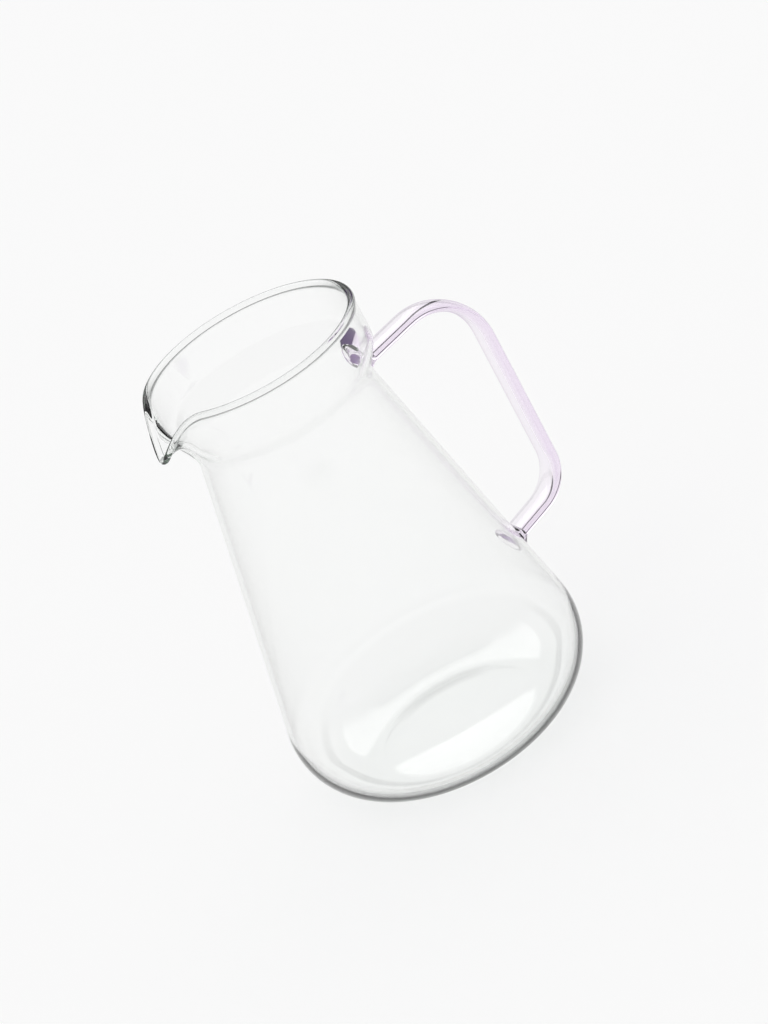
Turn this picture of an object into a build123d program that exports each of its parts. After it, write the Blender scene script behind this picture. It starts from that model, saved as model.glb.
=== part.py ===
from build123d import *
import os
from math import asin, atan2, cos, degrees, hypot, pi, radians, sin, sqrt, tan

# A blown glass serving jug: a clear body with a drawn pouring lip, and a strap handle fused to its neck and cone.
# Millimetres. The origin is the middle of the base on the jug's axis, +Z is up.
# The handle stands towards +X and the lip towards -X.

# Body
HEIGHT = 200.0              # table to the top of the rim
WALL = 2.0                  # glass of the cone, the neck and the collar
BASE_THICKNESS = 3.0        # glass of the base, heavier than the wall
FOOT_RADIUS = 37.5          # where the base turns up into the belly
BELLY_RADIUS = 29.5         # rounding between the base and the cone, outside
PUSH_UP_RADIUS = 29.5       # the shallow dome inside the ring that the jug stands on
PUSH_UP_RISE = 1.6
NECK_RADIUS = 40.0          # outside, at the narrowest place
NECK_BLEND = 22.0           # rounding between the cone and the neck, outside

# Collar and rim
COLLAR_HEIGHT = 33.0        # from the narrowest place of the neck up to the top of the rim
COLLAR_STEP = 6.8           # the collar is this much wider than the neck, on the radius
SHOULDER_RISE = 16.0        # from the neck up to the straight part of the collar
SHOULDER_PULL = 6.0         # how far the glass keeps its direction at each end of the shoulder
BEAD_RADIUS = 1.6           # fire-polished rim

# Pouring lip
LIP_AZIMUTH = 180.0         # degrees about the axis from the handle
LIP_HALF_ANGLE = 33.0       # degrees about the axis, from the tip to where the rim is round again
LIP_TIP_ANGLE = 4.0         # degrees about the axis, rounding of the tip
LIP_REACH = 8.0             # how far the tip stands out past the rim
LIP_DROP = 16.0             # how far the tip lies below the rim
LIP_RISE = 11.0             # the channel's glass climbs this far before it turns outwards
LIP_RUN = 11.8              # and runs this far out to the tip
LIP_CREST = 4.6             # and would crest this far above the tip

# Handle
STRAP_WIDTH = 15.0
STRAP_THICKNESS = 5.0
TOP_ROOT_DROP = 3.0         # the middle of the strap meets the glass this far below the neck's narrowest place
TOP_SLOPE = 6.0             # degrees, the strap climbs as it leaves the neck
TOP_BEND = 27.0             # radius of the strap's middle line
LOW_ROOT_HEIGHT = 56.0      # where the middle of the strap meets the cone
LOW_BEND = 18.5
LOW_RUN = 12.7              # straight stretch between the lower bend and the flare
TOP_PAD = (17.0, 19.0)      # width and height of the glass pressed onto the neck
TOP_PAD_LIFT = 4.0          # it spreads upwards, under the shoulder
LOW_PAD = (17.0, 13.0)      # width and height of the glass pressed onto the cone
FLARE_LENGTH = 4.0          # the stretch in which the strap spreads into its pads
ROOT_DEPTH = 3.0            # the flare is made this much longer and then cut to the body's surface

NECK_HEIGHT = HEIGHT - COLLAR_HEIGHT
COLLAR_RADIUS = NECK_RADIUS + COLLAR_STEP
TOP_ROOT_HEIGHT = NECK_HEIGHT - TOP_ROOT_DROP
WALL_STATIONS = 14
WALL_STEP = 0.002           # share of the wall used to find its direction
HALVINGS = 30               # steps of the search for the bead's edge
JOIN_TOLERANCE = 0.001      # the round and the drawn sectors of the collar meet to within this
LIP_STATIONS = (0.0, 0.1, 0.22, 0.36, 0.52, 0.68, 0.84, 1.0, 1.1)    # shares of LIP_HALF_ANGLE
FLARE_STATIONS = (-0.3, 0.0, 0.2, 0.4, 0.6, 0.8, 1.0)                 # from the strap, 0, to the surface, 1


def cone_line(neck_blend, belly_radius, belly_height):
    """Ends of the cone's straight line, tangent to the neck's rounding outside it and to the belly inside it."""
    neck = (NECK_RADIUS + NECK_BLEND, NECK_HEIGHT)
    belly = (FOOT_RADIUS, belly_height)
    across, up = neck[0] - belly[0], neck[1] - belly[1]
    angle = asin((neck_blend + belly_radius) / hypot(across, up)) - atan2(across, up)
    top = (neck[0] - neck_blend * cos(angle), neck[1] - neck_blend * sin(angle))
    bottom = (belly[0] + belly_radius * cos(angle), belly[1] + belly_radius * sin(angle))
    return top, bottom, degrees(angle)


CONE_ANGLE = cone_line(NECK_BLEND, BELLY_RADIUS, BELLY_RADIUS)[2]


def side_edges(inset, foot_height):
    """The body's side from the base up to the neck, as (r, z) edges, set inwards by the thickness of the glass."""
    belly_radius = BELLY_RADIUS - inset
    belly_height = foot_height + belly_radius
    neck_blend = NECK_BLEND + inset
    top, bottom, angle = cone_line(neck_blend, belly_radius, belly_height)
    half = radians((angle - 90) / 2)
    belly_middle = (FOOT_RADIUS + belly_radius * cos(half), belly_height + belly_radius * sin(half))
    quarter = radians(angle / 2)
    neck_centre = NECK_RADIUS + NECK_BLEND
    neck_middle = (neck_centre - neck_blend * cos(quarter), NECK_HEIGHT - neck_blend * sin(quarter))
    return [
        ThreePointArc((FOOT_RADIUS, foot_height), belly_middle, bottom),
        Line(bottom, top),
        ThreePointArc(top, neck_middle, (NECK_RADIUS - inset, NECK_HEIGHT)),
    ]


def floor_edges(height):
    """A face of the base, from the axis out to the foot, as (r, z) edges: a shallow dome in a flat ring."""
    dome_radius = (PUSH_UP_RADIUS ** 2 + PUSH_UP_RISE ** 2) / (2 * PUSH_UP_RISE)
    half = asin(PUSH_UP_RADIUS / dome_radius) / 2
    top = height + PUSH_UP_RISE
    middle = (dome_radius * sin(half), top - dome_radius * (1 - cos(half)))
    return [
        ThreePointArc((0, top), middle, (PUSH_UP_RADIUS, height)),
        Line((PUSH_UP_RADIUS, height), (FOOT_RADIUS, height)),
    ]


def bezier(points, share):
    """Point of the cubic curve through four (r, z) points."""
    rest = 1 - share
    weights = (rest ** 3, 3 * share * rest ** 2, 3 * share ** 2 * rest, share ** 3)
    return [sum(w * p[i] for w, p in zip(weights, points)) for i in (0, 1)]


def wall_point(share, drawn):
    """Middle of the glass between the neck, 0, and the bead, 1. Drawn is 0 in the round collar and 1 in the lip."""
    neck, collar = NECK_RADIUS - WALL / 2, COLLAR_RADIUS - WALL / 2
    shoulder, bead = NECK_HEIGHT + SHOULDER_RISE, HEIGHT - BEAD_RADIUS
    bend = SHOULDER_RISE / (bead - NECK_HEIGHT)
    if share < bend:
        rise = [(neck, NECK_HEIGHT), (neck, NECK_HEIGHT + SHOULDER_PULL),
                (collar, shoulder - SHOULDER_PULL), (collar, shoulder)]
        upright = bezier(rise, share / bend)
    else:
        upright = [collar, NECK_HEIGHT + (bead - NECK_HEIGHT) * share]
    tip = (collar + LIP_REACH, bead - LIP_DROP)
    channel = [(neck, NECK_HEIGHT), (neck, NECK_HEIGHT + LIP_RISE), (tip[0] - LIP_RUN, tip[1] + LIP_CREST), tip]
    lip = bezier(channel, share)
    return [u + (p - u) * drawn for u, p in zip(upright, lip)]


def wall_frame(share, drawn):
    """A point in the middle of the glass, with the unit vectors along it and out of it."""
    r0, z0 = wall_point(max(share - WALL_STEP, 0), drawn)
    r1, z1 = wall_point(min(share + WALL_STEP, 1), drawn)
    length = hypot(r1 - r0, z1 - z0)
    along = ((r1 - r0) / length, (z1 - z0) / length)
    return wall_point(share, drawn), along, (along[1], -along[0])


def bead_share(drawn):
    """Where the two faces of the glass run into the bead."""
    back = sqrt(BEAD_RADIUS ** 2 - (WALL / 2) ** 2)
    end, along, _ = wall_frame(1, drawn)
    low, high = 0.5, 1.0
    for _ in range(HALVINGS):
        share = (low + high) / 2
        r, z = wall_point(share, drawn)
        if hypot(end[0] - r, end[1] - z) > back:
            low = share
        else:
            high = share
    return low


def wall_face_edge(side, drawn):
    """One face of the glass from the neck up to the bead: side is 1 outside and -1 inside."""
    last = bead_share(drawn)
    points = []
    for i in range(WALL_STATIONS + 1):
        (r, z), along, out = wall_frame(last * i / WALL_STATIONS, drawn)
        points.append((r + side * out[0] * WALL / 2, z + side * out[1] * WALL / 2))
    points[0] = (NECK_RADIUS - (0 if side > 0 else WALL), NECK_HEIGHT)
    return Spline(*points, tangents=((0, 1), along))


def collar_section(drawn):
    """Cross-section of the collar's glass with its bead, in the (r, z) plane."""
    outside, inside = wall_face_edge(1, drawn), wall_face_edge(-1, drawn)
    (r, z), along, out = wall_frame(1, drawn)
    crown = (r + along[0] * BEAD_RADIUS, z + along[1] * BEAD_RADIUS)
    beads = []
    for side, face in ((1, outside), (-1, inside)):
        widest = (r + side * out[0] * BEAD_RADIUS, z + side * out[1] * BEAD_RADIUS)
        beads.append(ThreePointArc(face @ 1, widest, crown))
    return Face(Wire([outside, *beads, inside, Line(inside @ 0, outside @ 0)]))


def upright_plane(angle):
    """The plane through the axis at an angle about it, with its own x pointing outwards and y up."""
    a = radians(angle)
    return Plane(origin=(0, 0, 0), x_dir=(cos(a), sin(a), 0), z_dir=(sin(a), -cos(a), 0))


def drawn_at(angle):
    """How far the collar is drawn into the lip at an angle from the tip: 1 at the tip, 0 where the rim is round."""
    soft = hypot(angle, LIP_TIP_ANGLE)
    if soft >= LIP_HALF_ANGLE:
        return 0.0
    return (tan(radians(LIP_HALF_ANGLE - soft)) / tan(radians(LIP_HALF_ANGLE - LIP_TIP_ANGLE))) ** 2


def make_lip():
    """The drawn sector of the collar: its cross-section opens outwards and down towards the tip."""
    angles = sorted({side * share * LIP_HALF_ANGLE for share in LIP_STATIONS for side in (-1, 1)})
    return loft([upright_plane(LIP_AZIMUTH + angle) * collar_section(drawn_at(angle)) for angle in angles])


def make_collar():
    """The round sector of the collar, from one side of the lip to the other."""
    half = LIP_HALF_ANGLE * LIP_STATIONS[-1]
    start = upright_plane(LIP_AZIMUTH + half) * collar_section(0)
    return revolve(start, Axis.Z, 360 - 2 * half)


def make_body():
    """The whole blown body: base, belly, cone and neck, then the collar with its lip."""
    inner_floor = floor_edges(BASE_THICKNESS)
    outer_floor = floor_edges(0)
    outside, inside = side_edges(0, 0), side_edges(WALL, BASE_THICKNESS)
    edges = outer_floor + outside + inner_floor + inside
    edges.append(Line((0, PUSH_UP_RISE), (0, BASE_THICKNESS + PUSH_UP_RISE)))
    edges.append(Line((NECK_RADIUS - WALL, NECK_HEIGHT), (NECK_RADIUS, NECK_HEIGHT)))
    vessel = revolve(Plane.XZ * Face(Wire(edges)), Axis.Z, 360)
    return vessel.solid().fuse(make_collar().solid(), make_lip().solid(), tol=JOIN_TOLERANCE)


def make_envelope():
    """The space inside the body's outer surface, which cuts the handle's roots to fit it."""
    collar = wall_face_edge(1, 0)
    top = collar @ 1
    edges = side_edges(0, 0) + [collar, Line(top, (0, top.Y)), Line((0, top.Y), (0, 0)), Line((0, 0), (FOOT_RADIUS, 0))]
    return revolve(Plane.XZ * Face(Wire(edges)), Axis.Z, 360)


def make_flare(root, slope, pad, lift):
    """A root of the strap, widening from its own oval to the pad that is pressed onto the body."""
    out = (cos(radians(slope)), sin(radians(slope)))
    sections = []
    for share in FLARE_STATIONS + (1 + ROOT_DEPTH / FLARE_LENGTH,):
        grown = (1 - cos(pi * min(max(share, 0), 1))) / 2
        distance = FLARE_LENGTH * (1 - share)
        width = STRAP_WIDTH + (pad[0] - STRAP_WIDTH) * grown
        height = STRAP_THICKNESS + (pad[1] - STRAP_THICKNESS) * grown
        raised = lift * grown
        centre = (root[0] + out[0] * distance - out[1] * raised, 0, root[1] + out[1] * distance + out[0] * raised)
        plane = Plane(origin=centre, x_dir=(0, 1, 0), z_dir=(out[0], 0, out[1]))
        sections.append(plane * Ellipse(width / 2, height / 2))
    return loft(sections)


def strap_path(top_root, low_root):
    """The strap's middle line between its two flares: out from the neck, down, and back square to the cone."""
    clear = FLARE_LENGTH * (1 - FLARE_STATIONS[0])
    top, low = radians(TOP_SLOPE), radians(CONE_ANGLE)
    start = (top_root[0] + clear * cos(top), top_root[1] + clear * sin(top))
    end = (low_root[0] + clear * cos(low), low_root[1] + clear * sin(low))
    onward = LOW_RUN + LOW_BEND * tan((radians(90) - low) / 2)
    low_corner = (end[0] + onward * cos(low), end[1] + onward * sin(low))
    reach = low_corner[0]
    high_corner = (reach, start[1] + (reach - start[0]) * tan(top))
    line = FilletPolyline(start, high_corner, low_corner, end, radius=(TOP_BEND, LOW_BEND))
    return Plane.XZ * line


def cone_radius(height):
    """Outer radius of the cone at a height."""
    top, _, angle = cone_line(NECK_BLEND, BELLY_RADIUS, BELLY_RADIUS)
    return top[0] + (top[1] - height) * tan(radians(angle))


def make_handle():
    """The tinted glass strap, with both ends spread and cut to the body's outer surface."""
    top_root = (NECK_RADIUS, TOP_ROOT_HEIGHT)
    low_root = (cone_radius(LOW_ROOT_HEIGHT), LOW_ROOT_HEIGHT)
    path = strap_path(top_root, low_root)
    start = Plane(origin=path @ 0, x_dir=(0, 1, 0), z_dir=path % 0)
    strap = sweep(start * Ellipse(STRAP_WIDTH / 2, STRAP_THICKNESS / 2), path=path)
    top = make_flare(top_root, TOP_SLOPE, TOP_PAD, TOP_PAD_LIFT)
    low = make_flare(low_root, CONE_ANGLE, LOW_PAD, 0)
    return strap + top + low - make_envelope()


os.makedirs("parts", exist_ok=True)
PARTS = {"jug_body": make_body(), "handle": make_handle()}
for name, solid in PARTS.items():
    export_step(solid, f"parts/{name}.step")
    print(name, "volume", round(solid.volume), "mm3, solids", len(solid.solids()))
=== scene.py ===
"""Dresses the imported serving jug: a blown glass body with a drawn pouring lip, and a tinted glass strap handle.

It also sets up the studio. Metres, Z up. The origin is the middle of the base; the handle stands towards +X and the lip towards -X.
"""

import bisect
import math
import types

import bmesh
import bpy
from mathutils import Matrix, Vector


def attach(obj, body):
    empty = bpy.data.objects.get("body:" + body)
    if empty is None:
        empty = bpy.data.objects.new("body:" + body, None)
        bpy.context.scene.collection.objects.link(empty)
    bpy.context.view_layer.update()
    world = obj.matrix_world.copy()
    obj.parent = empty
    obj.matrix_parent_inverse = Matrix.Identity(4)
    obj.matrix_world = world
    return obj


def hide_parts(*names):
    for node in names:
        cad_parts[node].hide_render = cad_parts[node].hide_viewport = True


bl_info = {
    "name": "Glass Serving Jug",
    "version": (1, 0, 0),
    "blender": (4, 5, 0),
    "location": "View3D > Sidebar > Jug",
    "description": "Builds the glass body, the strap handle and the studio round the packed jug",
    "category": "Object",
}

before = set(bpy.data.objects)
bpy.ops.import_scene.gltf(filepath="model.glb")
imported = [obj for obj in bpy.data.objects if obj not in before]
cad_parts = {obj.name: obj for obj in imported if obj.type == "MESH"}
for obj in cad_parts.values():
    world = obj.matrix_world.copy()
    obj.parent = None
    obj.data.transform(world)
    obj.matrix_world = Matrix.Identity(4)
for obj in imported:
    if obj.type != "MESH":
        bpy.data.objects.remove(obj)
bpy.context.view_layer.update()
MM = 0.001


def length(name, description, millimetres):
    """A size in metres, given here in millimetres as the maker measures it."""
    return bpy.props.FloatProperty(
        name=name, description=description, default=millimetres * MM, min=0.0, precision=4, unit="LENGTH"
    )


def degrees_of(name, description, degrees):
    """An angle, given here in degrees."""
    return bpy.props.FloatProperty(name=name, description=description, default=math.radians(degrees), subtype="ANGLE")


def number(name, description, value, low=0.0, high=1000.0):
    """A number without a unit of its own."""
    return bpy.props.FloatProperty(name=name, description=description, default=value, min=low, max=high, precision=4)


def colour(name, description, rgb):
    """A colour with its three parts between 0 and 1."""
    return bpy.props.FloatVectorProperty(
        name=name, description=description, default=rgb, min=0.0, max=1.0, size=3, subtype="COLOR"
    )


class JugBodySizes(bpy.types.PropertyGroup):
    """The blown body's own sizes."""

    height: length("Height", "From the table to the top of the rim", 200.0)
    wall: length("Wall", "Glass of the cone, the neck and the collar", 2.0)
    base: length("Base", "Glass of the base", 3.0)
    foot_radius: length("Foot Radius", "Where the base turns up into the belly", 37.5)
    belly_radius: length("Belly Rounding", "Rounding between the base and the cone", 29.5)
    push_radius: length("Push-up Radius", "The shallow dome inside the ring that the jug stands on", 29.5)
    push_rise: length("Push-up Rise", "Height of that dome", 1.6)
    ring_lift: length("Ring Lift", "The ring rests on its outer edge; its inner edge is this high", 0.6)
    neck_radius: length("Neck Radius", "Outside, at the narrowest place", 40.0)
    neck_blend: length("Neck Rounding", "Rounding between the cone and the neck", 22.0)
    collar_height: length("Collar Height", "From the narrowest place up to the top of the rim", 33.0)
    collar_step: length("Collar Step", "How much wider the collar is than the neck, on the radius", 6.8)
    shoulder_rise: length("Shoulder Rise", "From the neck to the straight part of the collar", 16.0)
    shoulder_pull: length("Shoulder Pull", "How far the glass keeps its direction at each end of the shoulder", 6.0)
    bead: length("Rim Bead", "Radius of the fire-polished rim", 1.6)
    lip_half_angle: degrees_of("Lip Half Angle", "From the tip to where the rim is round again", 33.0)
    lip_tip_angle: degrees_of("Lip Tip Angle", "Rounding of the tip", 4.0)
    lip_reach: length("Lip Reach", "How far the tip stands out past the rim", 8.0)
    lip_drop: length("Lip Drop", "How far the tip lies below the rim", 16.0)
    lip_rise: length("Lip Rise", "The channel's glass climbs this far before it turns outwards", 11.0)
    lip_run: length("Lip Run", "The channel runs this far out to the tip", 11.8)
    lip_crest: length("Lip Crest", "The channel would crest this far above the tip", 4.6)


class JugHandleSizes(bpy.types.PropertyGroup):
    """The strap handle's own sizes."""

    width: length("Strap Width", "Across the strap", 15.0)
    thickness: length("Strap Thickness", "Through the strap", 5.0)
    top_drop: length("Top Root Drop", "The strap meets the glass this far below the neck's narrowest place", 3.0)
    top_slope: degrees_of("Top Slope", "The strap climbs as it leaves the neck", 6.0)
    top_bend: length("Top Bend", "Radius of the middle line", 27.0)
    low_root: length("Lower Root Height", "Where the strap meets the cone", 56.0)
    low_bend: length("Lower Bend", "Radius of the middle line", 18.5)
    low_run: length("Lower Run", "Straight stretch between the lower bend and the flare", 12.7)
    top_pad_width: length("Top Pad Width", "Glass pressed onto the neck", 17.0)
    top_pad_height: length("Top Pad Height", "Glass pressed onto the neck", 19.0)
    top_pad_lift: length("Top Pad Lift", "The pad spreads upwards, under the shoulder", 4.0)
    low_pad_width: length("Lower Pad Width", "Glass pressed onto the cone", 17.0)
    low_pad_height: length("Lower Pad Height", "Glass pressed onto the cone", 13.0)
    flare: length("Flare Length", "The stretch in which the strap spreads into its pads", 4.0)
    sink: length("Melt Depth", "How far the pads are melted into the wall", 0.35)


class JugGlassLook(bpy.types.PropertyGroup):
    """How the two glasses look."""

    clear: colour("Clear Glass", "Colour of the body's glass", (0.997, 0.998, 0.997))
    tint: colour("Handle Glass", "Colour that the handle's glass keeps", (0.50, 0.06, 0.66))
    tint_depth: number("Tint Depth", "How fast the handle's glass takes on its colour, per metre", 14.0)
    melt: colour("Body Glass", "Colour that the body's glass keeps over a long way", (0.60, 0.80, 0.64))
    melt_depth: number("Body Depth", "How fast the body's glass takes on its colour, per metre", 6.0)
    ior: number("Refraction", "Index of refraction of borosilicate glass", 1.473, 1.0, 2.0)
    waviness: number("Waviness", "Strength of the soft waves of hand-worked glass", 0.02, 0.0, 1.0)


class JugStudioLook(bpy.types.PropertyGroup):
    """The studio and the camera."""

    paper: colour("Paper", "Colour of the floor", (0.920, 0.920, 0.920))
    backdrop: colour("Backdrop", "What the camera sees past the floor's edge", (0.956, 0.956, 0.956))
    paper_share: number("Paper Glow", "Share of the floor's brightness that no shadow takes away", 0.5, 0.0, 1.0)
    azimuth: degrees_of("Camera Azimuth", "Round the jug, 0 looks along +Y", -20.0)
    elevation: degrees_of("Camera Elevation", "Above the horizon", 21.65)
    roll: degrees_of("Camera Roll", "The jug leans this much to the left in the picture", 29.7)
    distance: length("Camera Distance", "From the middle of the rim", 1115.5)
    lens: number("Lens", "Focal length in millimetres on a 36 mm picture", 98.44)
    rim_x: number("Rim X", "Where the middle of the rim lies, in pixels from the left", 248.1)
    rim_y: number("Rim Y", "Where the middle of the rim lies, in pixels from the top", 349.4)


# The photograph's picture in pixels, and the camera's sensor in millimetres
PICTURE = (768, 1024)
SENSOR = 36.0

# Columns of the body's mesh round the axis
ROUND_COLUMNS = 168
LIP_COLUMNS = 72
LIP_MARGIN = 1.02

# Stations of the body's section, from the axis out and up to the rim
DOME_STATIONS = 14
RING_STATIONS = 6
BELLY_STATIONS = 28
CONE_STATIONS = 22
NECK_STATIONS = 8
WALL_STATIONS = 26
BEAD_STATIONS = 14
ON_CONE = (30, 45)

# Stations along the strap and points round it
FLARE_STATIONS = 22
RISE_STATIONS = 10
TOP_BEND_STATIONS = 32
GRIP_STATIONS = 24
LOW_BEND_STATIONS = 26
LOW_RUN_STATIONS = 4
SECTION_POINTS = 48
CAP_RINGS = (0.85, 0.65, 0.42, 0.2)

# The flare starts this share of its length before its own start
FLARE_LEAD = 0.3

# Searches by halving: the bead's place and the strap's meeting with the wall
BEAD_HALVINGS = 30
MELT_HALVINGS = 40
MELT_REACH = 12 * MM

# Share of a pad that the melt hides, and the height below which there is no pad
MELTED_SHARE = 0.97
LOWEST_PAD = 20 * MM

# Red, green, blue and strength of the painted shade that darkens the glass along its outline, standing in for the
# dark surroundings that real glass shows there
UNSHADED_EDGE = (0.5, 0.5, 0.5, 0.0)
FOOT_EDGE_SHADE = (0.0, 0.0, 0.0, 4.75)
WALL_EDGE_SHADE = (0.30, 0.30, 0.30, 0.75)
RIM_EDGE_SHADE = (0.22, 0.24, 0.23, 6.0)
STRAP_EDGE_SHADE = (0.20, 0.08, 0.26, 3.0)

# The foot's painted shade fades out over this height, up to this level, on the belly's outer skin
FOOT_SHADE_TOP = 30 * MM
FOOT_SHADE_FADE = 22 * MM
# The foot's painted shade starts this far past the foot's radius; the rim's painted shade covers this many bead radii
# below the top, and the collar's glass that stands this far past the collar
FOOT_SHADE_START = 3 * MM
RIM_SHADE_DEPTH = 2.5
RIM_SHADE_STEP = 0.6 * MM

# Degrees above the horizon ahead of the camera and the level there, then the level all around
SKY = (
    (0.0, 0.95), (5.0, 0.95), (7.0, 0.10), (16.5, 0.10), (18.5, 1.02),
    (34.2, 1.02), (35.6, 2.15), (60.0, 2.15), (62.0, 0.62), (90.0, 0.62),
)
SKY_STRENGTH = 2.2
ROOM = 0.64
AHEAD = (0.10, 0.45)

# The floor lies this far below the foot's ring, so that the two faces don't coincide
FLOOR_DROP = 0.1 * MM
FLOOR_RADIUS = 6.0
FLOOR_SEGMENTS = 96

# The lamp overhead: energy, then degrees across and degrees of tilt
LAMP_ENERGY = 0.66
LAMP_SPREAD = 55
LAMP_TILT = (18, -28)


def bezier(points, share):
    """Point of the cubic curve through four (r, z) points."""
    rest = 1 - share
    weights = (rest**3, 3 * share * rest**2, 3 * share**2 * rest, share**3)
    return Vector([sum(w * p[i] for w, p in zip(weights, points)) for i in (0, 1)])


def arc(centre, radius, start, end, steps):
    """Points of an arc in the (r, z) plane, both ends included; angles in radians from the r axis."""
    angles = [start + (end - start) * i / steps for i in range(steps + 1)]
    return [Vector((centre[0] + radius * math.cos(a), centre[1] + radius * math.sin(a))) for a in angles]


def line(start, end, steps):
    """Points of a straight line in the (r, z) plane, without its ends."""
    a, b = Vector(start), Vector(end)
    return [a.lerp(b, i / steps) for i in range(1, steps)]


def plain_values(group):
    """The group's values as plain attributes, which are quick to read many times."""
    keys = [key for key in group.bl_rna.properties.keys() if key != "rna_type"]
    return types.SimpleNamespace(**{key: getattr(group, key) for key in keys})


class BlownBody:
    """The body's section at any angle, worked out from its sizes."""

    def __init__(self, sizes):
        self.s = plain_values(sizes)
        self.neck_height = self.s.height - self.s.collar_height
        self.collar = self.s.neck_radius + self.s.collar_step
        self.round_part = None
        self.outline = self.side(0, 0) + self.collar_section(0)[:WALL_STATIONS]

    def side(self, inset, foot_height):
        """The side from the foot up to the neck, set inwards by the thickness of the glass."""
        s = self.s
        belly = s.belly_radius - inset
        blend = s.neck_blend + inset
        neck = (s.neck_radius + s.neck_blend, self.neck_height)
        foot = (s.foot_radius, foot_height + belly)
        across, up = neck[0] - foot[0], neck[1] - foot[1]
        angle = math.asin((blend + belly) / math.hypot(across, up)) - math.atan2(across, up)
        low = arc(foot, belly, -math.pi / 2, angle, BELLY_STATIONS)
        high = arc(neck, blend, math.pi + angle, math.pi, NECK_STATIONS)
        return low + line(low[-1], high[0], CONE_STATIONS) + high

    def floor(self, height):
        """A face of the base from near the axis out to the foot: a shallow dome that runs out into a ring."""
        s = self.s
        rise = s.push_rise - s.ring_lift
        dome = (s.push_radius**2 + rise**2) / (2 * rise)
        half = math.asin(s.push_radius / dome)
        top = height + s.push_rise
        angles = [half * i / DOME_STATIONS for i in range(1, DOME_STATIONS + 1)]
        cap = [Vector((dome * math.sin(a), top - dome * (1 - math.cos(a)))) for a in angles]
        return cap + line(cap[-1], (s.foot_radius, height), RING_STATIONS)

    def wall_point(self, share, drawn):
        """Middle of the glass between the neck, 0, and the bead, 1.

        Drawn is 0 in the round collar and 1 at the lip's tip.
        """
        s = self.s
        neck, collar = s.neck_radius - s.wall / 2, self.collar - s.wall / 2
        shoulder, bead = self.neck_height + s.shoulder_rise, s.height - s.bead
        bend = s.shoulder_rise / (bead - self.neck_height)
        if share < bend:
            rise = ((neck, self.neck_height), (neck, self.neck_height + s.shoulder_pull),
                    (collar, shoulder - s.shoulder_pull), (collar, shoulder))
            upright = bezier(rise, share / bend)
        else:
            upright = Vector((collar, self.neck_height + (bead - self.neck_height) * share))
        tip = (collar + s.lip_reach, bead - s.lip_drop)
        channel = ((neck, self.neck_height), (neck, self.neck_height + s.lip_rise),
                   (tip[0] - s.lip_run, tip[1] + s.lip_crest), tip)
        return upright.lerp(bezier(channel, share), drawn)

    def wall_frame(self, share, drawn):
        """A point in the middle of the glass, with the directions along it and out of it."""
        step = 0.002
        before = self.wall_point(max(share - step, 0), drawn)
        after = self.wall_point(min(share + step, 1), drawn)
        along = (after - before).normalized()
        return self.wall_point(share, drawn), along, Vector((along.y, -along.x))

    def collar_section(self, drawn):
        """The collar's glass from the neck's outside over the bead to the neck's inside, without its two ends."""
        s = self.s
        back = math.sqrt(s.bead**2 - (s.wall / 2) ** 2)
        end, along, out = self.wall_frame(1, drawn)
        low, high = 0.5, 1.0
        for _ in range(BEAD_HALVINGS):
            last = (low + high) / 2
            if (end - self.wall_point(last, drawn)).length > back:
                low = last
            else:
                high = last
        outside, inside = [], []
        for i in range(1, WALL_STATIONS + 1):
            p, _, o = self.wall_frame(last * i / WALL_STATIONS, drawn)
            outside.append(p + o * s.wall / 2)
            inside.append(p - o * s.wall / 2)
        spread = math.pi - math.atan2(s.wall / 2, back)
        bead = []
        for i in range(1, 2 * BEAD_STATIONS):
            a = spread * (1 - i / BEAD_STATIONS)
            bead.append(end + (out * math.sin(a) + along * math.cos(a)) * s.bead)
        return outside + bead + inside[::-1]

    def drawn_at(self, angle):
        """How far the collar is drawn into the lip at an angle from the tip."""
        s = self.s
        soft = math.hypot(angle, s.lip_tip_angle)
        if soft >= s.lip_half_angle:
            return 0.0
        return (math.tan(s.lip_half_angle - soft) / math.tan(s.lip_half_angle - s.lip_tip_angle)) ** 2

    def section(self, angle):
        """The whole section at an angle from the lip's tip, from under the base over the bead and down inside."""
        s = self.s
        if not self.round_part:
            outer = self.floor(0) + self.side(0, 0)
            inner = self.floor(s.base) + self.side(s.wall, s.base)
            self.round_part = (outer, self.collar_section(0), inner[::-1])
        outer, collar, inner = self.round_part
        drawn = self.drawn_at(angle)
        return outer + (self.collar_section(drawn) if drawn else collar) + inner

    def outer_radius(self, height):
        """Outer radius of the round body at a height."""
        above = min(bisect.bisect_left(self.outline, height, key=lambda p: p.y), len(self.outline) - 1)
        a, b = self.outline[max(above - 1, 0)], self.outline[max(above, 1)]
        return a.x + (b.x - a.x) * (height - a.y) / (b.y - a.y)


def columns(half):
    """Angles from the lip's tip, closer together in the lip."""
    fine = [half * (2 * i / LIP_COLUMNS - 1) for i in range(LIP_COLUMNS)]
    rest = 2 * math.pi - 2 * half
    return fine + [half + rest * i / ROUND_COLUMNS for i in range(ROUND_COLUMNS)]


def new_mesh_object(name, bm):
    """A mesh object with smooth faces in the scene's collection."""
    bmesh.ops.recalc_face_normals(bm, faces=bm.faces)
    mesh = bpy.data.meshes.new(name)
    bm.to_mesh(mesh)
    bm.free()
    for face in mesh.polygons:
        face.use_smooth = True
    piece = bpy.data.objects.new(name, mesh)
    bpy.context.scene.collection.objects.link(piece)
    return piece


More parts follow.
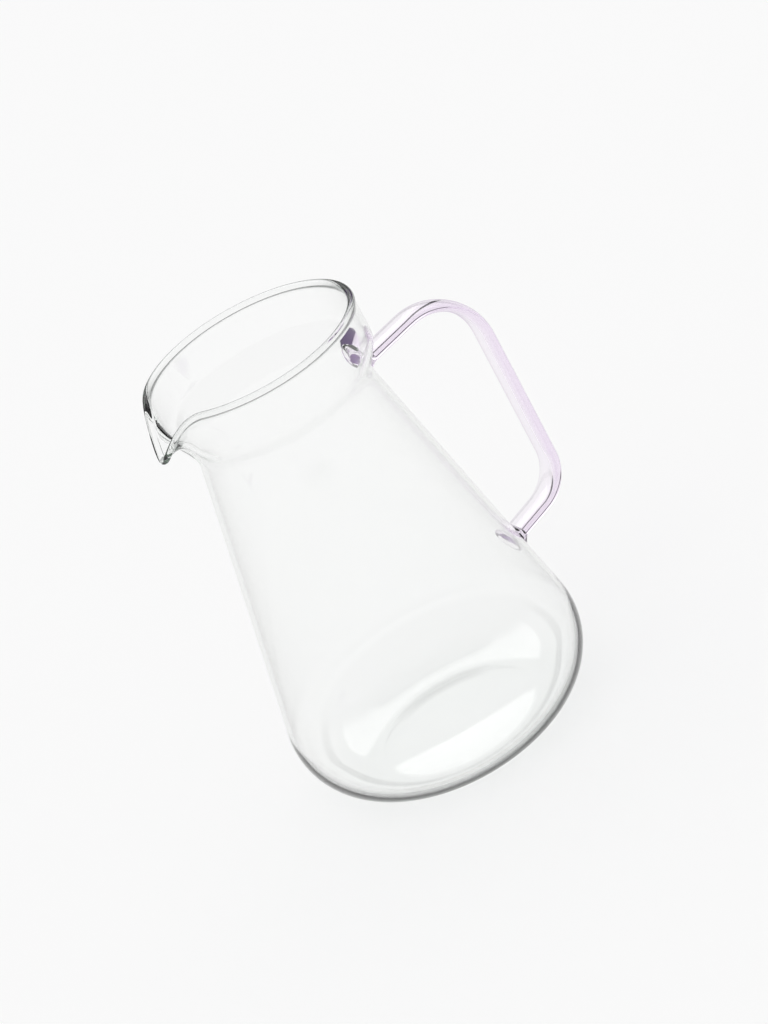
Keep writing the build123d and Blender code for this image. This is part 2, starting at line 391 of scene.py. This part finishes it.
def make_body_mesh(name, sizes):
    """One closed skin of glass: both faces of the wall, the rim's bead and the base."""
    body = BlownBody(sizes)
    bm = bmesh.new()
    grid = []
    for angle in columns(sizes.lip_half_angle * LIP_MARGIN):
        turn = math.pi + angle
        c, s = math.cos(turn), math.sin(turn)
        grid.append([bm.verts.new((p.x * c, p.x * s, p.y)) for p in body.section(angle)])
    under = bm.verts.new((0, 0, sizes.push_rise))
    above = bm.verts.new((0, 0, sizes.base + sizes.push_rise))
    for a, b in zip(grid, grid[1:] + grid[:1]):
        bm.faces.new((under, a[0], b[0]))
        for i in range(len(a) - 1):
            bm.faces.new((a[i], a[i + 1], b[i + 1], b[i]))
        bm.faces.new((a[-1], above, b[-1]))
    return new_mesh_object(name, bm)


class Strap:
    """The handle's middle line and its section along it."""

    def __init__(self, sizes, body):
        self.s = plain_values(sizes)
        self.body = body
        self.top_root = Vector((body.s.neck_radius, body.neck_height - self.s.top_drop))
        self.low_root = Vector((body.outer_radius(self.s.low_root), self.s.low_root))
        side = body.side(0, 0)
        a, b = (side[i] for i in ON_CONE)
        self.cone = math.atan2(a.x - b.x, b.y - a.y)

    def middle_line(self):
        """(point, direction) pairs in the XZ plane from the upper flare's start to the lower flare's start."""
        s = self.s
        clear = s.flare * (1 + FLARE_LEAD)
        top_out = Vector((math.cos(s.top_slope), math.sin(s.top_slope)))
        low_out = Vector((math.cos(self.cone), math.sin(self.cone)))
        start = self.top_root + top_out * clear
        end = self.low_root + low_out * clear
        low_corner = end + low_out * (s.low_run + s.low_bend * math.tan((math.pi / 2 - self.cone) / 2))
        reach = low_corner.x
        high_corner = Vector((reach, start.y + (reach - start.x) * math.tan(s.top_slope)))
        turn_high = math.pi / 2 + s.top_slope
        high_back = s.top_bend * math.tan(turn_high / 2)
        bend_start = high_corner - top_out * high_back
        normal = Vector((top_out.y, -top_out.x))
        centre = bend_start + normal * s.top_bend
        stations = [(start.lerp(bend_start, i / RISE_STATIONS), top_out) for i in range(RISE_STATIONS)]
        for i in range(TOP_BEND_STATIONS + 1):
            a = turn_high * i / TOP_BEND_STATIONS
            d = Vector((math.cos(s.top_slope - a), math.sin(s.top_slope - a)))
            stations.append((centre + Vector((-d.y, d.x)) * s.top_bend, d))
        turn_low = math.pi / 2 - self.cone
        low_back = s.low_bend * math.tan(turn_low / 2)
        low_start = low_corner + Vector((0, low_back))
        down = Vector((0, -1))
        after = stations[-1][0]
        stations += [(after.lerp(low_start, i / GRIP_STATIONS), down) for i in range(1, GRIP_STATIONS)]
        centre = low_start - Vector((s.low_bend, 0))
        for i in range(LOW_BEND_STATIONS + 1):
            a = turn_low * i / LOW_BEND_STATIONS
            d = Vector((-math.sin(a), -math.cos(a)))
            stations.append((centre + Vector((math.cos(a), -math.sin(a))) * s.low_bend, d))
        last = stations[-1][0]
        stations += [(last.lerp(end, i / LOW_RUN_STATIONS), -low_out) for i in range(1, LOW_RUN_STATIONS + 1)]
        return stations

    def flare(self, root, slope, pad, lift):
        """(centre, outward direction, width, height) from the strap's end to the body's surface."""
        s = self.s
        out = Vector((math.cos(slope), math.sin(slope)))
        up = Vector((-out.y, out.x))
        rings = []
        for i in range(1, FLARE_STATIONS + 1):
            share = (1 + FLARE_LEAD) * i / FLARE_STATIONS - FLARE_LEAD
            grown = (1 - math.cos(math.pi * max(share, 0))) / 2
            width = s.width + (pad[0] - s.width) * grown
            height = s.thickness + (pad[1] - s.thickness) * grown
            rings.append((root + out * s.flare * (1 - share) + up * lift * grown, out, width, height))
        return rings


def ring_points(centre, direction, width, height):
    """Points of the strap's oval section, square to its direction."""
    up = Vector((-direction.y, direction.x))
    points = []
    for i in range(SECTION_POINTS):
        a = 2 * math.pi * i / SECTION_POINTS
        q = height / 2 * math.sin(a)
        points.append(Vector((centre.x + up.x * q, width / 2 * math.cos(a), centre.y + up.y * q)))
    return points


def melt_in(point, direction, body, sink):
    """The point moved along the strap's direction until it lies just under the body's surface."""
    low, high = -MELT_REACH, MELT_REACH
    for _ in range(MELT_HALVINGS):
        t = (low + high) / 2
        p = Vector((point.x - direction.x * t, point.y, point.z - direction.y * t))
        if math.hypot(p.x, p.y) > body.outer_radius(p.z) - sink:
            low = t
        else:
            high = t
    return p


def make_handle_mesh(name, sizes, body):
    """The strap with its two flares, both ends closed just under the body's surface."""
    strap = Strap(sizes, body)
    top_pad = (sizes.top_pad_width, sizes.top_pad_height)
    low_pad = (sizes.low_pad_width, sizes.low_pad_height)
    top = strap.flare(strap.top_root, sizes.top_slope, top_pad, sizes.top_pad_lift)
    low = strap.flare(strap.low_root, strap.cone, low_pad, 0.0)
    rings = [ring_points(*ring) for ring in reversed(top)]
    rings += [ring_points(point, direction, sizes.width, sizes.thickness) for point, direction in strap.middle_line()]
    rings += [ring_points(centre, -out, width, height) for centre, out, width, height in low]
    caps = []
    for end, flare in ((0, top), (-1, low)):
        centre, out, width, height = flare[-1]
        rings[end] = [melt_in(p, out, body, sizes.sink) for p in rings[end]]
        facing = out if end == 0 else -out
        shrunk = []
        for share in CAP_RINGS:
            ring = ring_points(centre, facing, width * share, height * share)
            shrunk.append([melt_in(p, out, body, sizes.sink) for p in ring])
        caps.append((shrunk, melt_in(Vector((centre.x, 0, centre.y)), out, body, sizes.sink)))
    rings = caps[0][0][::-1] + rings + caps[1][0]
    bm = bmesh.new()
    grid = [[bm.verts.new(p) for p in ring] for ring in rings]
    for a, b in zip(grid[:-1], grid[1:]):
        for i in range(SECTION_POINTS):
            j = (i + 1) % SECTION_POINTS
            bm.faces.new((a[i], a[j], b[j], b[i]))
    for ring, centre in ((grid[0], caps[0][1]), (grid[-1], caps[1][1])):
        middle = bm.verts.new(centre)
        for i in range(SECTION_POINTS):
            bm.faces.new((ring[i], ring[(i + 1) % SECTION_POINTS], middle))
    return new_mesh_object(name, bm)


def new_material(name):
    """An empty node material."""
    material = bpy.data.materials.new(name)
    material.use_nodes = True
    material.node_tree.nodes.clear()
    return material


def add_node(tree, kind, **values):
    """A shader node whose sockets, or else own settings, take the named values."""
    node = tree.nodes.new(kind)
    for key, value in values.items():
        label = key.replace("_", " ")
        if hasattr(node, key):
            setattr(node, key, value)
        else:
            node.inputs[label].default_value = value
    return node


def maths(tree, operation, a, b=None):
    """The output of a Math node whose inputs are sockets or numbers."""
    node = tree.nodes.new("ShaderNodeMath")
    node.operation = operation
    for slot, value in enumerate((a, b)):
        if value is None:
            continue
        if isinstance(value, bpy.types.NodeSocket):
            tree.links.new(value, node.inputs[slot])
        else:
            node.inputs[slot].default_value = value
    return node.outputs[0]


def glass_shader(tree, base, ior, waviness, seed, edge_shade_power):
    """Blown glass: clear, smooth, with painted shade darkening it along its outline, very soft waves and a trace of
    handling.
    """
    link = tree.links.new
    glass = add_node(tree, "ShaderNodeBsdfPrincipled", IOR=ior)
    # Painted shade: the stored outline colour darkens the glass's colour towards grazing angles, standing in for dark
    # surroundings
    edge_shade = add_node(tree, "ShaderNodeAttribute", attribute_name="edge_shade")
    slant = add_node(tree, "ShaderNodeLayerWeight", Blend=0.5)
    steep = maths(tree, "POWER", slant.outputs["Facing"], edge_shade_power)
    shade = add_node(tree, "ShaderNodeMix", data_type="RGBA")
    shade.inputs[6].default_value = (*base, 1)
    link(edge_shade.outputs["Color"], shade.inputs[7])
    link(maths(tree, "MULTIPLY", steep, edge_shade.outputs["Alpha"]), shade.inputs[0])
    link(shade.outputs[2], glass.inputs["Base Color"])
    glass.inputs["Transmission Weight"].default_value = 1.0
    place = add_node(tree, "ShaderNodeTexCoord")
    shift = add_node(tree, "ShaderNodeMapping")
    shift.inputs["Location"].default_value = (seed, seed, seed)
    shift.inputs["Scale"].default_value = (1, 1, 0.55)
    link(place.outputs["Object"], shift.inputs["Vector"])
    waves = add_node(tree, "ShaderNodeTexNoise", Scale=26.0, Detail=1.0, Roughness=0.4)
    link(shift.outputs["Vector"], waves.inputs["Vector"])
    bump = add_node(tree, "ShaderNodeBump", Strength=waviness, Distance=0.004)
    link(waves.outputs["Fac"], bump.inputs["Height"])
    link(bump.outputs["Normal"], glass.inputs["Normal"])
    film = add_node(tree, "ShaderNodeTexNoise", Scale=9.0, Detail=3.0, Roughness=0.6)
    link(shift.outputs["Vector"], film.inputs["Vector"])
    polish = add_node(tree, "ShaderNodeMapRange")
    for label, value in (("From Min", 0.3), ("From Max", 0.8), ("To Min", 0.0), ("To Max", 0.012)):
        polish.inputs[label].default_value = value
    link(film.outputs["Fac"], polish.inputs["Value"])
    link(polish.outputs["Result"], glass.inputs["Roughness"])
    return glass


def let_light_through(tree, glass, clear, edge_shade):
    """Shadow and diffuse rays pass straight through, darker at the edge, and melted faces vanish."""
    link = tree.links.new
    rays = add_node(tree, "ShaderNodeLightPath")
    facing = add_node(tree, "ShaderNodeLayerWeight", Blend=0.35)
    shade = add_node(tree, "ShaderNodeMix", data_type="RGBA")
    shade.inputs[6].default_value = (*clear, 1)
    shade.inputs[7].default_value = (*edge_shade, 1)
    link(facing.outputs["Facing"], shade.inputs[0])
    veil = add_node(tree, "ShaderNodeBsdfTransparent")
    link(shade.outputs[2], veil.inputs["Color"])
    soft = maths(tree, "MAXIMUM", rays.outputs["Is Shadow Ray"], rays.outputs["Is Diffuse Ray"])
    lit = add_node(tree, "ShaderNodeMixShader")
    link(soft, lit.inputs["Fac"])
    link(glass.outputs["BSDF"], lit.inputs[1])
    link(veil.outputs["BSDF"], lit.inputs[2])
    gone = add_node(tree, "ShaderNodeBsdfTransparent")
    whole = add_node(tree, "ShaderNodeMixShader")
    mark = add_node(tree, "ShaderNodeAttribute", attribute_name="joined")
    link(maths(tree, "LESS_THAN", mark.outputs["Fac"], 0.5), whole.inputs["Fac"])
    link(lit.outputs["Shader"], whole.inputs[1])
    link(gone.outputs["BSDF"], whole.inputs[2])
    out = add_node(tree, "ShaderNodeOutputMaterial")
    link(whole.outputs["Shader"], out.inputs["Surface"])
    return out


def absorb(tree, out, rgb, depth):
    """Gives the glass the colour that it keeps over a long way."""
    volume = add_node(tree, "ShaderNodeVolumeAbsorption", Density=depth)
    volume.inputs["Color"].default_value = (*rgb, 1)
    tree.links.new(volume.outputs["Volume"], out.inputs["Volume"])


def clear_glass(look):
    """The body's glass."""
    material = new_material("clear_borosilicate_glass")
    tree = material.node_tree
    glass = glass_shader(tree, look.clear, look.ior, look.waviness, seed=0.0, edge_shade_power=4.0)
    out = let_light_through(tree, glass, clear=(0.992, 0.994, 0.993), edge_shade=(0.86, 0.87, 0.865))
    absorb(tree, out, look.melt, look.melt_depth)
    return material


def tinted_glass(look):
    """The handle's glass."""
    material = new_material("lilac_strap_glass")
    tree = material.node_tree
    glass = glass_shader(tree, (1, 1, 1), look.ior, look.waviness, seed=3.7, edge_shade_power=9.0)
    out = let_light_through(tree, glass, clear=(0.93, 0.88, 0.95), edge_shade=(0.62, 0.5, 0.68))
    absorb(tree, out, look.tint, look.tint_depth)
    return material


def mark_joined(piece, value_at):
    """Stores on each corner whether the face there is melted into its neighbour, below 0.5, or open, above."""
    layer = piece.data.attributes.new("joined", "FLOAT", "POINT")
    for vertex, slot in zip(piece.data.vertices, layer.data):
        slot.value = value_at(vertex.co)


def paint_edge_shade(piece, edge_shade_at):
    """Stores the painted shade that darkens the glass at its outline, and how strongly it does so."""
    layer = piece.data.color_attributes.new("edge_shade", "FLOAT_COLOR", "POINT")
    for vertex, slot in zip(piece.data.vertices, layer.data):
        slot.color = edge_shade_at(vertex.co)


class JUG_OT_body(bpy.types.Operator):
    """Build the blown glass body with its drawn lip"""

    bl_idname = "jug.body"
    bl_label = "Glass Body"

    def execute(self, context):
        scene = context.scene
        piece = make_body_mesh("glass_body", scene.jug_body)
        body, handle = BlownBody(scene.jug_body), scene.jug_handle
        strap = Strap(handle, body)
        pads = []
        for root, slope, width, height, lift in (
            (strap.top_root, handle.top_slope, handle.top_pad_width, handle.top_pad_height, handle.top_pad_lift),
            (strap.low_root, strap.cone, handle.low_pad_width, handle.low_pad_height, 0.0),
        ):
            up = Vector((-math.sin(slope), 0, math.cos(slope)))
            pads.append((Vector((root.x, 0, root.y)) + up * lift, up, width / 2, height / 2))

        def openness(p):
            if p.x < 0 or p.z <= LOWEST_PAD or math.hypot(p.x, p.y) < body.outer_radius(p.z) - body.s.wall / 2:
                return 1.0
            nearest = min(math.hypot(p.y / w, (p - centre).dot(up) / h) for centre, up, w, h in pads)
            return min(0.5 * nearest / MELTED_SHARE, 1.0)

        # Painted shade along the body's outline: black over the foot, fading into grey on the wall, darker grey on
        # the rim and the lip; none on the base and on the inner skin low down
        def edge_shade(p):
            out = math.hypot(p.x, p.y)
            if p.z < FOOT_SHADE_TOP:
                middle = body.outer_radius(max(p.z, 0.05 * MM)) - body.s.wall / 2
                if out < max(middle, body.s.foot_radius + FOOT_SHADE_START):
                    return UNSHADED_EDGE
                low = min((FOOT_SHADE_TOP - p.z) / FOOT_SHADE_FADE, 1)
                return tuple(wall + (foot - wall) * low for wall, foot in zip(WALL_EDGE_SHADE, FOOT_EDGE_SHADE))
            if p.z > body.s.height - RIM_SHADE_DEPTH * body.s.bead:
                return RIM_EDGE_SHADE
            return RIM_EDGE_SHADE if p.z > body.neck_height and out > body.collar + RIM_SHADE_STEP else WALL_EDGE_SHADE

        mark_joined(piece, openness)
        paint_edge_shade(piece, edge_shade)
        piece.data.materials.append(clear_glass(scene.jug_glass))
        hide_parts("jug_body")
        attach(piece, "root")
        return {"FINISHED"}


class JUG_OT_handle(bpy.types.Operator):
    """Build the tinted strap handle with its flared ends"""

    bl_idname = "jug.handle"
    bl_label = "Strap Handle"

    def execute(self, context):
        scene = context.scene
        body = BlownBody(scene.jug_body)
        handle = scene.jug_handle
        piece = make_handle_mesh("strap_handle", handle, body)

        def openness(p):
            depth = body.outer_radius(p.z) - math.hypot(p.x, p.y)
            return 0.0 if depth > handle.sink * 0.5 else 1.0

        mark_joined(piece, openness)
        # Painted shade in dark purple along the strap's outline
        paint_edge_shade(piece, lambda p: STRAP_EDGE_SHADE)
        piece.data.materials.append(tinted_glass(scene.jug_glass))
        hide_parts("handle")
        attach(piece, "root")
        return {"FINISHED"}


def paper_material(studio):
    """Matte white paper that stays white in the picture and still takes the jug's soft shadow."""
    material = new_material("studio_paper")
    tree = material.node_tree
    link = tree.links.new
    rays = add_node(tree, "ShaderNodeLightPath")
    seen = maths(tree, "MAXIMUM", rays.outputs["Is Camera Ray"], rays.outputs["Is Glossy Ray"])
    seen = maths(tree, "MAXIMUM", seen, rays.outputs["Is Transmission Ray"])
    glow = add_node(tree, "ShaderNodeEmission")
    glow.inputs["Color"].default_value = (*studio.paper, 1)
    glow.inputs["Strength"].default_value = studio.paper_share
    rest = add_node(tree, "ShaderNodeBsdfDiffuse")
    rest.inputs["Color"].default_value = (*[c * (1 - studio.paper_share) for c in studio.paper], 1)
    both = add_node(tree, "ShaderNodeAddShader")
    link(glow.outputs[0], both.inputs[0])
    link(rest.outputs[0], both.inputs[1])
    plain = add_node(tree, "ShaderNodeBsdfDiffuse")
    plain.inputs["Color"].default_value = (0.8, 0.8, 0.8, 1)
    mix = add_node(tree, "ShaderNodeMixShader")
    link(seen, mix.inputs["Fac"])
    link(plain.outputs[0], mix.inputs[1])
    link(both.outputs[0], mix.inputs[2])
    out = add_node(tree, "ShaderNodeOutputMaterial")
    link(mix.outputs[0], out.inputs["Surface"])
    return material


def studio_world(studio):
    """White for the camera; for the glass, bands of light and dark ahead and a plain level all around."""
    world = bpy.data.worlds.new("studio")
    world.use_nodes = True
    tree = world.node_tree
    tree.nodes.clear()
    link = tree.links.new
    place = add_node(tree, "ShaderNodeTexCoord")
    split = add_node(tree, "ShaderNodeSeparateXYZ")
    link(place.outputs["Generated"], split.inputs[0])
    ramp = add_node(tree, "ShaderNodeValToRGB")
    steps = ramp.color_ramp.elements
    for height, _ in SKY[1:-1]:
        steps.new(math.sin(math.radians(height)))
    for step, (_, level) in zip(steps, SKY):
        step.color = (*[level / SKY_STRENGTH] * 3, 1)
    link(split.outputs["Z"], ramp.inputs["Fac"])
    ahead = add_node(tree, "ShaderNodeVectorMath", operation="DOT_PRODUCT")
    link(place.outputs["Generated"], ahead.inputs[0])
    ahead.inputs[1].default_value = (-math.sin(studio.azimuth), math.cos(studio.azimuth), 0)
    turned = add_node(tree, "ShaderNodeMapRange", interpolation_type="SMOOTHSTEP")
    turned.inputs["From Min"].default_value, turned.inputs["From Max"].default_value = AHEAD
    link(ahead.outputs["Value"], turned.inputs["Value"])
    around = add_node(tree, "ShaderNodeMix", data_type="RGBA")
    link(turned.outputs["Result"], around.inputs[0])
    around.inputs[6].default_value = (*[ROOM / SKY_STRENGTH] * 3, 1)
    link(ramp.outputs["Color"], around.inputs[7])
    room = add_node(tree, "ShaderNodeBackground", Strength=SKY_STRENGTH)
    link(around.outputs[2], room.inputs["Color"])
    white = add_node(tree, "ShaderNodeBackground")
    white.inputs["Color"].default_value = (*studio.backdrop, 1)
    rays = add_node(tree, "ShaderNodeLightPath")
    mix = add_node(tree, "ShaderNodeMixShader")
    link(rays.outputs["Is Camera Ray"], mix.inputs["Fac"])
    link(room.outputs[0], mix.inputs[1])
    link(white.outputs[0], mix.inputs[2])
    out = add_node(tree, "ShaderNodeOutputWorld")
    link(mix.outputs[0], out.inputs["Surface"])
    return world


def photo_camera(studio, rim_height):
    """The camera at the photograph's viewing angle, rolled as the jug leans there."""
    a, e, roll = studio.azimuth, studio.elevation, studio.roll
    back = Vector((math.sin(a) * math.cos(e), -math.cos(a) * math.cos(e), math.sin(e)))
    right = Vector((math.cos(a), math.sin(a), 0))
    up = back.cross(right)
    view = -back
    across = right * math.cos(roll) - up * math.sin(roll)
    down = -right * math.sin(roll) - up * math.cos(roll)
    focal = studio.lens / SENSOR * PICTURE[1]
    rim = Vector((studio.rim_x - PICTURE[0] / 2, studio.rim_y - PICTURE[1] / 2, focal)).normalized()
    turn = Vector((0, 0, 1)).rotation_difference(rim).to_matrix()
    axes = turn @ Matrix((across, down, view))
    data = bpy.data.cameras.new("photo_camera")
    data.lens, data.sensor_width, data.sensor_fit = studio.lens, SENSOR, "AUTO"
    data.clip_start, data.clip_end = 0.05, 50.0
    camera = bpy.data.objects.new("photo_camera", data)
    place = Vector((0, 0, rim_height)) - view * studio.distance
    camera.matrix_world = Matrix.Translation(place) @ Matrix((axes[0], -axes[1], -axes[2])).transposed().to_4x4()
    bpy.context.scene.collection.objects.link(camera)
    return camera


class JUG_OT_studio(bpy.types.Operator):
    """Set the jug on pale paper under soft lamps, seen from the photograph's angle"""

    bl_idname = "jug.studio"
    bl_label = "Studio"

    def execute(self, context):
        scene = context.scene
        studio = scene.jug_studio
        bm = bmesh.new()
        bmesh.ops.create_circle(bm, cap_ends=True, radius=FLOOR_RADIUS, segments=FLOOR_SEGMENTS)
        floor = new_mesh_object("paper_floor", bm)
        floor.location.z = -FLOOR_DROP
        floor.data.materials.append(paper_material(studio))
        scene.world = studio_world(studio)
        lamp = bpy.data.lights.new("ceiling_light", "SUN")
        lamp.energy, lamp.angle = LAMP_ENERGY, math.radians(LAMP_SPREAD)
        ceiling = bpy.data.objects.new("ceiling_light", lamp)
        ceiling.rotation_euler = (*map(math.radians, LAMP_TILT), 0)
        ceiling.visible_glossy = ceiling.visible_transmission = False
        scene.collection.objects.link(ceiling)
        scene.camera = photo_camera(studio, scene.jug_body.height - scene.jug_body.bead)
        scene.view_settings.view_transform = "Standard"
        scene.cycles.max_bounces = 64
        scene.cycles.transmission_bounces = 48
        scene.cycles.glossy_bounces = 32
        scene.cycles.transparent_max_bounces = 24
        return {"FINISHED"}


class JUG_PT_panel(bpy.types.Panel):
    """The jug's sizes, looks and building steps"""

    bl_idname = "JUG_PT_panel"
    bl_label = "Glass Serving Jug"
    bl_space_type = "VIEW_3D"
    bl_region_type = "UI"
    bl_category = "Jug"

    def draw(self, context):
        for title, group, step in STEPS:
            box = self.layout.box()
            box.label(text=title)
            settings = getattr(context.scene, group)
            for key in settings.bl_rna.properties.keys():
                if key not in ("rna_type", "name"):
                    box.prop(settings, key)
            if step:
                box.operator(step.bl_idname)


GROUPS = {
    "jug_body": JugBodySizes,
    "jug_handle": JugHandleSizes,
    "jug_glass": JugGlassLook,
    "jug_studio": JugStudioLook,
}
STEPS = (
    ("Body", "jug_body", JUG_OT_body),
    ("Handle", "jug_handle", JUG_OT_handle),
    ("Glass", "jug_glass", None),
    ("Studio", "jug_studio", JUG_OT_studio),
)
CLASSES = (*GROUPS.values(), JUG_OT_body, JUG_OT_handle, JUG_OT_studio, JUG_PT_panel)


def register():
    for cls in CLASSES:
        bpy.utils.register_class(cls)
    for name, group in GROUPS.items():
        setattr(bpy.types.Scene, name, bpy.props.PointerProperty(type=group))


def unregister():
    for name in GROUPS:
        delattr(bpy.types.Scene, name)
    for cls in reversed(CLASSES):
        bpy.utils.unregister_class(cls)


def main():
    register()
    bpy.ops.jug.body()
    bpy.ops.jug.handle()
    bpy.ops.jug.studio()


if __name__ == "__main__":
    main()
